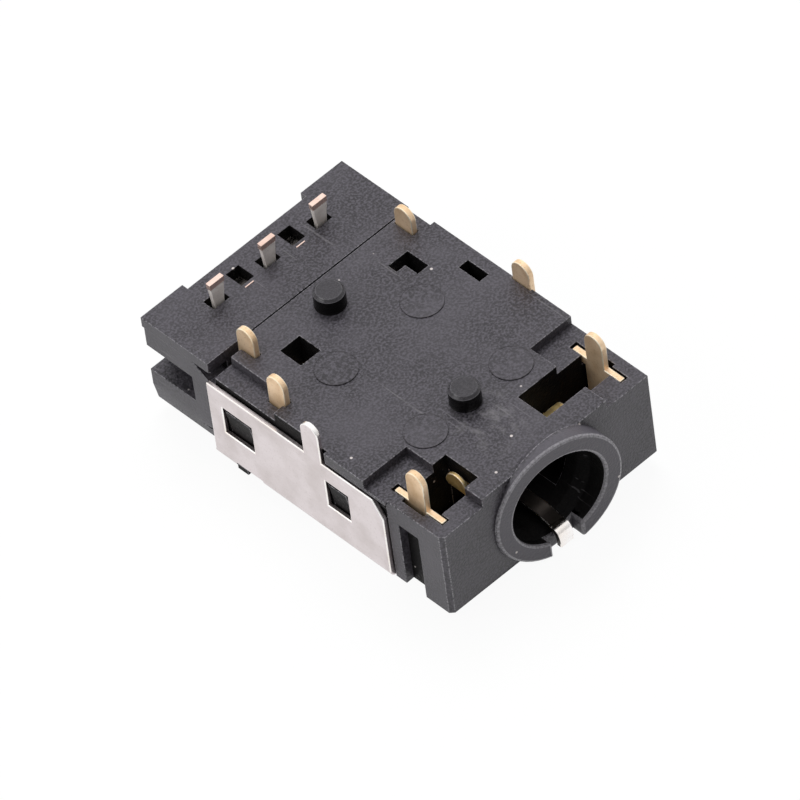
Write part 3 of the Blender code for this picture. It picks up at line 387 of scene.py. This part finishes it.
plastic = plasticMaterial("blackMoulding", plasticLook)
plasticEdgeWearAndHighlight = plasticMaterial("rubbedAndHighlightMoulding", edgeWearAndHighlightLook)
plasticPaintedShade = plasticMaterial("paintedShadeInsides", innerPaintedShadeLook)
witnessShade = plasticMaterial("witnessPaintedShade", witnessShadeLook)
steel = sheetMaterial("rolledSteel", steelLook)
steelEdgeAndHighlight = sheetMaterial("shearedAndHighlightSteel", steelEdgeAndHighlightLook)
steelDark = sheetMaterial("shadedSteel", steelDarkLook)
gold = sheetMaterial("goldPlate", goldLook)
paintedOliveGold = sheetMaterial("paintedOliveGold", paintedOliveGoldLook)
goldEdgeHighlight = sheetMaterial("paintedHighlightGold", goldEdgeHighlightLook)
tin = sheetMaterial("dullTin", tinLook)
copper = sheetMaterial("bareCopper", copperLook)
resin = resinMaterial("smokedResin", resinLook)
silicon = siliconMaterial("polishedSilicon", siliconLook)
print("finishes made")


# pieces kept from the frame, with their edges broken as the real ones are

posts = {
    "reach": 0.66 * mm,       # around each axis, in which everything above the board face is post
    "foot": 0.001 * mm,       # how far below the board face a post may start
    "height": 0.86,           # of the height that the frame has
    "rear": {"place": (-0.08 * mm, 3.416 * mm), "shift": (0.0, 0.07 * mm)},
    "front": {"place": (-0.08 * mm, -3.614 * mm), "shift": (-0.085 * mm, 0.136 * mm)},
}

leads = {
    "names": ("signal_lead", "emitter_lead", "driver_lead"),
    "sheet": 0.20 * mm,       # thickness, as the photograph shows it
}

leadHoles = {"rear": 7.5 * mm, "reach": 2.95 * mm, "z": 4.9 * mm}      # they lie within these


def settlePosts(shape):
    # the posts are a little lower than in the frame, and stand a little further back
    boardHeight = frame["record"]["mounts"][0]["pos_m"][2]
    for name in ("rear", "front"):
        x, y = posts[name]["place"]
        across, along = posts[name]["shift"]
        for vert in shape.verts:
            near = math.hypot(vert.co.x - x, vert.co.y - y) < posts["reach"]
            if near and vert.co.z > boardHeight - posts["foot"]:
                vert.co.x += across
                vert.co.y += along
                vert.co.z = boardHeight + (vert.co.z - boardHeight) * posts["height"]


def thinLead(shape):
    # the sheet is thinned from behind, so its face towards the mouth stays in place
    nose = min(vert.co.y for vert in shape.verts)
    rear = max(vert.co.y for vert in shape.verts)
    for vert in shape.verts:
        vert.co.y = nose + (vert.co.y - nose) * leads["sheet"] / (rear - nose)


bodyInsides = {
    "low": (-4.85 * mm, -7.1 * mm, 0.75 * mm),      # what lies in here isn't on the outside, and gets painted shade
    "high": (4.85 * mm, 4.5 * mm, 4.45 * mm),
    "boreReach": 2.04 * mm,       # from the bore axis
    "boreHeight": 2.725 * mm,
    "recessX": -5.0 * mm,         # side wall behind the steel shell
    "recessNose": -4.4 * mm,
    "recessTop": 4.6 * mm,
    "postFoot": 4.94 * mm,
    "postReach": 1.0 * mm,
    "postNose": -5.0 * mm,
    "turned": 0.8,                # a face whose normal has more along the bore than this is an end face
    "upright": 0.3,               # a face whose normal has less upwards than this is a side face
}

shellTongue = {"curl": -7.42 * mm, "floor": 0.75 * mm, "reach": 0.45 * mm}
springReach = 4.2 * mm            # springs of the front contacts lie within this from the middle

holderInsides = {"low": (-4.2 * mm, 4.9 * mm, 0.75 * mm), "high": (4.2 * mm, 7.78 * mm, 4.9 * mm)}


def isBetween(place, box):
    return all(low < value < high for low, value, high in zip(box["low"], place, box["high"]))


# where the holder's faces get painted shade
def insideHolder(place, normal):
    return isBetween(place, holderInsides)


# where the body's faces get painted shade: the bore, the wall behind the shell, the posts' sides and the
# insides
def insideBody(place, normal):
    look = bodyInsides
    x, y, z = place
    alongBore = abs(normal.y) < look["turned"]
    inBore = alongBore and math.hypot(x, z - look["boreHeight"]) < look["boreReach"]
    behindShell = x < look["recessX"] and y > look["recessNose"] and z < look["recessTop"]
    postSide = z > look["postFoot"] and abs(normal.z) < look["upright"] and abs(x) < look["postReach"]
    onPost = postSide and y > look["postNose"]
    return inBore or behindShell or onPost or isBetween(place, look)


def deepInBore(place, normal):
    # the tongue's arm, behind its bright curl
    behind = place.y > shellTongue["curl"] and place.z > shellTongue["floor"]
    return behind and abs(place.x) < shellTongue["reach"]


def shellPaintedHighlight(place, normal):
    # painted highlight: the tail over the board face, and the tongue's curl, take the bright edge steel
    onCurl = place.y < shellTongue["curl"] and abs(place.x) < shellTongue["reach"]
    return onCurl or place.z > bodyInsides["postFoot"]


# where the springs take their painted olive tone
def onSpring(place, normal):
    return abs(place.x) < springReach


def isLeadHole(edge):
    # the holes around the leads keep their sharp corners
    look = leadHoles
    for vert in edge.verts:
        x, y, z = vert.co
        if y > look["rear"] or abs(x) > look["reach"] or z < look["z"]:
            return False
    return True


moulded = {"width": 0.024 * mm, "face": plastic, "edge": plasticEdgeWearAndHighlight, "slot": "black_plastic"}
body = dict(moulded, reshape=settlePosts, paintedLightFinish=plasticPaintedShade, getsPaintedLightFinish=insideBody)
holder = dict(moulded, width=0.020 * mm, paintedLightFinish=plasticPaintedShade, getsPaintedLightFinish=insideHolder)
holder["isSharp"] = isLeadHole
stamped = {"width": 0.040 * mm, "face": steel, "edge": steelEdgeAndHighlight, "slot": "stainless_steel"}
shell = dict(stamped, paintedLightFinish=steelDark, getsPaintedLightFinish=deepInBore, getsPaintedHighlight=shellPaintedHighlight)
plated = {"width": 0.035 * mm, "face": gold, "edge": goldEdgeHighlight, "slot": "gold_plate"}
sprung = dict(plated, paintedLightFinish=paintedOliveGold, getsPaintedLightFinish=onSpring)
sheared = {"width": 0.015 * mm, "face": tin, "edge": tin, "slot": "tinned_copper", "reshape": thinLead}

softening = {
    "housing": body,
    "rear_holder": holder,
    "ground_shell": shell,
    "front_left_contact": sprung,
    "front_right_contact": sprung,
    "rear_left_contact": plated,
    "rear_right_contact": plated,
    "mid_left_contact": plated,
    "mid_right_contact": plated,
    "signal_lead": sheared,
    "emitter_lead": sheared,
    "driver_lead": sheared,
}


turns = {
    "flat": math.radians(0.6),        # the most between two triangles of one flat face
    "curved": math.radians(20),       # the most between two faces of one round surface
    "broken": math.radians(28),       # an outer edge that turns more than this is broken
}

mergeDistance = 0.001 * mm

# least lengths of a broken edge and of the edges beside it, in bevel widths
room = {"length": 2.0, "beside": 1.6}

mouthEdges = {
    "width": 0.11 * mm,               # of the rounding, where other edges have less
    "radii": (2.0 * mm, 2.725 * mm),
    "height": 2.725 * mm,
    "front": -7.3 * mm,
    "slack": 0.02 * mm,               # how far from a radius a corner may lie
}


def turnOf(edge):
    return edge.calc_face_angle(0.0) if len(edge.link_faces) == 2 else 0.0


def isFlat(edge):
    return len(edge.link_faces) == 2 and turnOf(edge) < turns["flat"]


def isCurved(face):
    return any(turns["flat"] < turnOf(edge) < turns["curved"] for edge in face.edges)


def isRounded(edge):
    # the ferrule's rim is round where it turns into the bore and into the flank
    for vert in edge.verts:
        away = math.hypot(vert.co.x, vert.co.z - mouthEdges["height"])
        onCircle = min(abs(away - radius) for radius in mouthEdges["radii"]) < mouthEdges["slack"]
        if vert.co.y > mouthEdges["front"] or not onCircle:
            return False
    return True


def hasRoom(edge, width):
    # a bevel of this width fits beside the edge without running into its neighbours
    if edge.calc_length() < room["length"] * width:
        return False
    for vert in edge.verts:
        for other in vert.link_edges:
            if other is not edge and other.calc_length() < room["beside"] * width:
                return False
    return True


def flatPatches(shape):
    # the CAD's triangles, gathered into the flat faces that they make up
    shape.faces.index_update()
    patches = []
    taken = set()
    for start in shape.faces:
        if start.index in taken:
            continue
        taken.add(start.index)
        patch = [start]
        for face in patch:      # it grows while it is walked
            for edge in face.edges:
                for other in edge.link_faces:
                    if isFlat(edge) and other.index not in taken:
                        taken.add(other.index)
                        patch.append(other)
        patches.append(patch)
    return patches


def finishIndex(patch, settings):
    corners = {vert.index: vert.co for face in patch for vert in face.verts}
    place = sum(corners.values(), Vector()) / len(corners)
    # index 1 is the edge finish, used here as a painted highlight; index 2 is the copy with painted
    # light
    if "getsPaintedHighlight" in settings and settings["getsPaintedHighlight"](place, patch[0].normal):
        return 1
    if "getsPaintedLightFinish" in settings and settings["getsPaintedLightFinish"](place, patch[0].normal):
        return 2
    return 0


def weighEdges(shape, width, isSharp):
    # the weight says how much of the mouth's rounding an edge gets
    layer = shape.edges.layers.float.new("bevel_weight_edge")
    for edge in shape.edges:
        if isSharp and isSharp(edge):
            edge.smooth = False
            continue
        edge.smooth = turnOf(edge) < turns["curved"]
        if turnOf(edge) <= turns["broken"] or not edge.is_convex:
            continue
        if isRounded(edge):
            edge[layer] = 1.0
        elif hasRoom(edge, width):
            edge[layer] = width / mouthEdges["width"]


def makePlain(piece):
    # what the modifiers make becomes the piece's own mesh
    bpy.context.view_layer.update()
    graph = bpy.context.evaluated_depsgraph_get()
    mesh = bpy.data.meshes.new_from_object(piece.evaluated_get(graph))
    piece.modifiers.clear()
    piece.data = mesh


def addBevel(piece, width):
    bevel = piece.modifiers.new("brokenEdges", "BEVEL")
    bevel.width = width
    bevel.segments = 2
    return bevel


def softenEdges(nodeName, settings):
    mesh = nodes[nodeName].data.copy()
    mesh.materials.clear()
    for key in ("face", "edge", "paintedLightFinish"):
        if key in settings:
            mesh.materials.append(settings[key])
    shape = bmesh.new()
    shape.from_mesh(mesh)
    bmesh.ops.remove_doubles(shape, verts=shape.verts, dist=mergeDistance)
    shape.verts.index_update()
    if "reshape" in settings:
        settings["reshape"](shape)
    for patch in flatPatches(shape):
        finish = finishIndex(patch, settings)
        for face in patch:
            face.smooth = isCurved(face)
            face.material_index = finish
    weighEdges(shape, settings["width"], settings.get("isSharp"))
    shape.to_mesh(mesh)
    shape.free()
    piece = bpy.data.objects.new(nodeName + "_finished", mesh)
    scene.collection.objects.link(piece)
    bevel = addBevel(piece, mouthEdges["width"])
    bevel.limit_method = "WEIGHT"
    bevel.loop_slide = False          # corners keep an even width
    bevel.use_clamp_overlap = False
    bevel.material = 1                # the edge finish
    makePlain(piece)
    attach(piece, "root")
    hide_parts(nodeName)


for nodeName, settings in softening.items():
    softenEdges(nodeName, settings)
    print("edges broken:", nodeName)


# small repeated pieces, each row or ring set made by a node tree

def nodeGroup(name, inputs):
    # a tree with named inputs and one geometry output
    group = bpy.data.node_groups.new(name, "GeometryNodeTree")
    group.interface.new_socket("Geometry", in_out="OUTPUT", socket_type="NodeSocketGeometry")
    for label, kind in inputs.items():
        group.interface.new_socket(label, in_out="INPUT", socket_type="NodeSocket" + kind)
    return group, addNode(group, "NodeGroupInput").outputs, addNode(group, "NodeGroupOutput").inputs


def chain(group, kind, links, **values):
    node = addNode(group, kind, **values)
    for key, source in links.items():
        group.links.new(source, node.inputs[key])
    return node


def settle(group, geometry, given, outputs):
    # every tree ends the same way, because the export drops instances
    real = chain(group, "GeometryNodeRealizeInstances", {"Geometry": geometry})
    links = {"Geometry": real.outputs["Geometry"], "Material": given["Material"]}
    dressed = chain(group, "GeometryNodeSetMaterial", links)
    group.links.new(dressed.outputs["Geometry"], outputs["Geometry"])


def grown(name, group, values, bevelWidth=0.0):
    # the object that a tree makes, as a plain mesh
    piece = bpy.data.objects.new(name, bpy.data.meshes.new(name))
    scene.collection.objects.link(piece)
    nodesModifier = piece.modifiers.new("grow", "NODES")
    nodesModifier.node_group = group
    for item in group.interface.items_tree:
        if item.in_out == "INPUT":
            nodesModifier[item.identifier] = values[item.name]
    if bevelWidth:
        addBevel(piece, bevelWidth)
    makePlain(piece)
    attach(piece, "root")


def ringTree():
    # rings on the corners of a rectangle
    inputs = {
        "Radius": "Float", "Line Width": "Float", "Line Height": "Float", "Spacing Across": "Float",
        "Spacing Along": "Float", "Place": "Vector", "Material": "Material",
    }
    group, given, outputs = nodeGroup("ringsOnCorners", inputs)
    links = {"Size X": given["Spacing Across"], "Size Y": given["Spacing Along"]}
    corners = chain(group, "GeometryNodeMeshGrid", links)
    corners.inputs["Vertices X"].default_value = 2
    corners.inputs["Vertices Y"].default_value = 2
    circle = chain(group, "GeometryNodeCurvePrimitiveCircle", {"Radius": given["Radius"]})
    circle.inputs["Resolution"].default_value = 64
    links = {"Width": given["Line Width"], "Height": given["Line Height"]}
    section = chain(group, "GeometryNodeCurvePrimitiveQuadrilateral", links)
    links = {"Curve": circle.outputs["Curve"], "Profile Curve": section.outputs["Curve"]}
    ring = chain(group, "GeometryNodeCurveToMesh", links)
    links = {"Points": corners.outputs["Mesh"], "Instance": ring.outputs["Mesh"]}
    placed = chain(group, "GeometryNodeInstanceOnPoints", links)
    links = {"Geometry": placed.outputs["Instances"], "Translation": given["Place"]}
    moved = chain(group, "GeometryNodeTransform", links)
    settle(group, moved.outputs["Geometry"], given, outputs)
    return group


def rowTree():
    # equal blocks in a row
    inputs = {
        "Count": "Int", "Step": "Vector", "Size": "Vector", "Place": "Vector", "Material": "Material",
    }
    group, given, outputs = nodeGroup("blocksInRow", inputs)
    links = {"Count": given["Count"], "Start Location": given["Place"], "Offset": given["Step"]}
    line = chain(group, "GeometryNodeMeshLine", links)
    block = chain(group, "GeometryNodeMeshCube", {"Size": given["Size"]})
    links = {"Points": line.outputs["Mesh"], "Instance": block.outputs["Mesh"]}
    placed = chain(group, "GeometryNodeInstanceOnPoints", links)
    settle(group, placed.outputs["Instances"], given, outputs)
    return group


witnessRings = {
    "radius": 0.8 * mm,
    "lineWidth": 0.024 * mm,
    "lineHeight": 0.010 * mm,
    "x": 2.12 * mm,
    "y": (1.076 * mm, -3.454 * mm),
    "z": 4.955 * mm,          # face of the ejector marks
}


def makeWitnessRings(look):
    first, last = look["y"]
    values = {
        "Radius": look["radius"],
        "Line Width": look["lineWidth"],
        "Line Height": look["lineHeight"],
        "Spacing Across": 2.0 * look["x"],
        "Spacing Along": first - last,
        "Place": (0.0, (first + last) / 2.0, look["z"]),
        # the rings' dark colour is painted shade at the edge of each ejector mark
        "Material": witnessShade,
    }
    grown("ejector_witness_lines", ringTree(), values)
    print("witness lines made")


makeWitnessRings(witnessRings)

leadCaps = {
    "size": (0.70 * mm, 0.215 * mm, 0.27 * mm),
    "over": 0.012 * mm,       # how far a cap stands above its lead
    "bevel": 0.02 * mm,
}


def leadRow():
    # middle of the first lead, the pitch, the face towards the mouth and the top
    low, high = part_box(leads["names"][0])
    lastLow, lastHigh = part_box(leads["names"][2])
    middle = (low[0] + high[0]) / 2.0
    pitch = ((lastLow[0] + lastHigh[0]) / 2.0 - middle) / 2.0
    return middle, pitch, low[1], high[2]


def makeLeadCaps(look):
    # bare copper where each lead was sheared from its frame
    middle, pitch, face, top = leadRow()
    depth, height = look["size"][1:]
    nose = face - (depth - leads["sheet"]) / 2.0
    values = {
        "Count": 3,
        "Step": (pitch, 0.0, 0.0),
        "Size": look["size"],
        "Place": (middle, nose + depth / 2.0, top + look["over"] - height / 2.0),
        "Material": copper,
    }
    grown("sheared_lead_ends", rowTree(), values, look["bevel"])
    print("lead ends made")


makeLeadCaps(leadCaps)

holeEdgeBars = {
    "size": (0.42 * mm, 0.05 * mm, 0.05 * mm),
    "beforeLead": 0.195 * mm,     # middle of the bar, from the leads' face towards the mouth
    "z": 4.93 * mm,
    "bevel": 0.01 * mm,
}


def makeHoleEdgeBars(look):
    # thin copper bars along the front edge of each tool hole, standing for the pale line along that edge
    middle, pitch, face, top = leadRow()
    values = {
        "Count": 2,
        "Step": (pitch, 0.0, 0.0),
        "Size": look["size"],
        "Place": (middle + pitch / 2.0, face - look["beforeLead"], look["z"]),
        "Material": copper,
    }
    grown("tool_hole_edge_bars", rowTree(), values, look["bevel"])
    print("tool hole edges made")


makeHoleEdgeBars(holeEdgeBars)

finishOf = {"optic_body": resin, "emitter_die": silicon, "driver_chip": silicon}
for nodeName, finish in finishOf.items():
    for materialSlot in nodes[nodeName].material_slots:
        materialSlot.material = finish
print("finishes put on the pieces")


# camera, floor and light

cameraView = {
    "distance": 453.98,               # in mm, from the eye to the aim
    "sensor": 36.0,
    "imageWidth": 800,
    "pixelsPerMm": 28.415,
    "right": (0.71347535, -0.69398446, -0.09663591),
    "up": (0.56426305, 0.48731099, 0.6664347),
    "aim": (-1.6776, -1.7052, 4.925),         # in mm, on the board face, in the middle of the picture
    "clip": (0.01, 10.0),
}


def makeCamera(look):
    widthOfView = look["imageWidth"] / look["pixelsPerMm"]
    data = bpy.data.cameras.new("camera")
    data.sensor_width = look["sensor"]
    data.lens = look["sensor"] * look["distance"] / widthOfView
    data.clip_start, data.clip_end = look["clip"]
    right = Vector(look["right"]).normalized()
    back = right.cross(Vector(look["up"])).normalized()
    up = back.cross(right)
    place = Matrix((right, up, back)).transposed().to_4x4()
    place.translation = (Vector(look["aim"]) + back * look["distance"]) * mm
    camera = bpy.data.objects.new("camera", data)
    scene.collection.objects.link(camera)
    camera.matrix_world = place
    scene.camera = camera


makeCamera(cameraView)

floorLook = {
    "size": 0.6,
    "color": (0.88, 0.88, 0.88),
    "roughness": 0.9,
    "seen": 0.94,                     # share of white glow that the camera sees
    "mirrored": 0.90,                 # and that gloss sees
}


def makeFloor(look):
    # pale floor: seen nearly white, and it keeps the shadow
    shape = bmesh.new()
    bmesh.ops.create_grid(shape, x_segments=1, y_segments=1, size=look["size"])
    mesh = bpy.data.meshes.new("floor")
    shape.to_mesh(mesh)
    shape.free()
    material, tree, shader = newMaterial("paleFloor")
    shader.inputs["Base Color"].default_value = (*look["color"], 1.0)
    shader.inputs["Roughness"].default_value = look["roughness"]
    glow = addNode(tree, "ShaderNodeEmission")
    rays = addNode(tree, "ShaderNodeLightPath")
    seen = addNode(tree, "ShaderNodeMath", operation="MULTIPLY")
    seen.inputs[1].default_value = look["seen"]
    tree.links.new(rays.outputs["Is Camera Ray"], seen.inputs[0])
    mirrored = addNode(tree, "ShaderNodeMath", operation="MULTIPLY")
    mirrored.inputs[1].default_value = look["mirrored"]
    tree.links.new(rays.outputs["Is Glossy Ray"], mirrored.inputs[0])
    share = addNode(tree, "ShaderNodeMath", operation="MAXIMUM")
    tree.links.new(seen.outputs[0], share.inputs[0])
    tree.links.new(mirrored.outputs[0], share.inputs[1])
    mix = addNode(tree, "ShaderNodeMixShader")
    tree.links.new(share.outputs[0], mix.inputs["Fac"])
    tree.links.new(shader.outputs["BSDF"], mix.inputs[1])
    tree.links.new(glow.outputs["Emission"], mix.inputs[2])
    tree.links.new(mix.outputs["Shader"], tree.nodes["Material Output"].inputs["Surface"])
    mesh.materials.append(material)
    floor = bpy.data.objects.new("floor", mesh)
    scene.collection.objects.link(floor)


makeFloor(floorLook)

lamps = {
    "key": {"place": (0.12, 0.16, 0.36), "size": 0.22, "watts": 1.25, "inGloss": False},
    "fill": {"place": (-0.30, 0.10, 0.22), "size": 0.25, "watts": 0.42, "inGloss": True},
}


def makeLamps(settings):
    for name, look in settings.items():
        data = bpy.data.lights.new(name, "AREA")
        data.shape = "SQUARE"
        data.size = look["size"]
        data.energy = look["watts"]
        lamp = bpy.data.objects.new(name, data)
        scene.collection.objects.link(lamp)
        place = Vector(look["place"])
        turn = place.to_track_quat("Z", "Y")      # it shines along its own -Z, at the object
        lamp.matrix_world = Matrix.Translation(place) @ turn.to_matrix().to_4x4()
        lamp.visible_glossy = look["inGloss"]     # flat gloss shows the sky, edges show the fill


makeLamps(lamps)

skyLook = {
    "towards": (0.32, 0.37, 0.87),    # brightest part of the soft sky
    "darkFrom": -0.2,                 # cosine of the angle from there at which it is darkest
    "dark": 0.10,
    "light": 0.75,
    "mirroredDark": 0.55,
    "mirroredLight": 1.20,
}


def makeSky(look):
    world = bpy.data.worlds.new("sky")
    world.use_nodes = True
    scene.world = world
    tree = world.node_tree
    background = tree.nodes["Background"]
    background.inputs["Color"].default_value = (1.0, 1.0, 1.0, 1.0)
    way = addNode(tree, "ShaderNodeVectorMath", operation="DOT_PRODUCT")
    tree.links.new(addNode(tree, "ShaderNodeTexCoord").outputs["Generated"], way.inputs[0])
    way.inputs[1].default_value = Vector(look["towards"]).normalized()
    near, start = way.outputs["Value"], look["darkFrom"]
    soft = ramp(tree, near, start, 1.0, look["dark"], look["light"])
    mirrored = ramp(tree, near, start, 1.0, look["mirroredDark"], look["mirroredLight"])
    rays = addNode(tree, "ShaderNodeLightPath")
    strength = addNode(tree, "ShaderNodeMix", data_type="FLOAT")
    tree.links.new(rays.outputs["Is Glossy Ray"], strength.inputs["Factor"])
    tree.links.new(soft, strength.inputs[2])
    tree.links.new(mirrored, strength.inputs[3])
    seen = addNode(tree, "ShaderNodeMath", operation="MAXIMUM")
    tree.links.new(rays.outputs["Is Camera Ray"], seen.inputs[0])
    tree.links.new(strength.outputs[0], seen.inputs[1])
    tree.links.new(seen.outputs[0], background.inputs["Strength"])


makeSky(skyLook)
scene.view_settings.view_transform = "Standard"
print("camera, floor and light set")
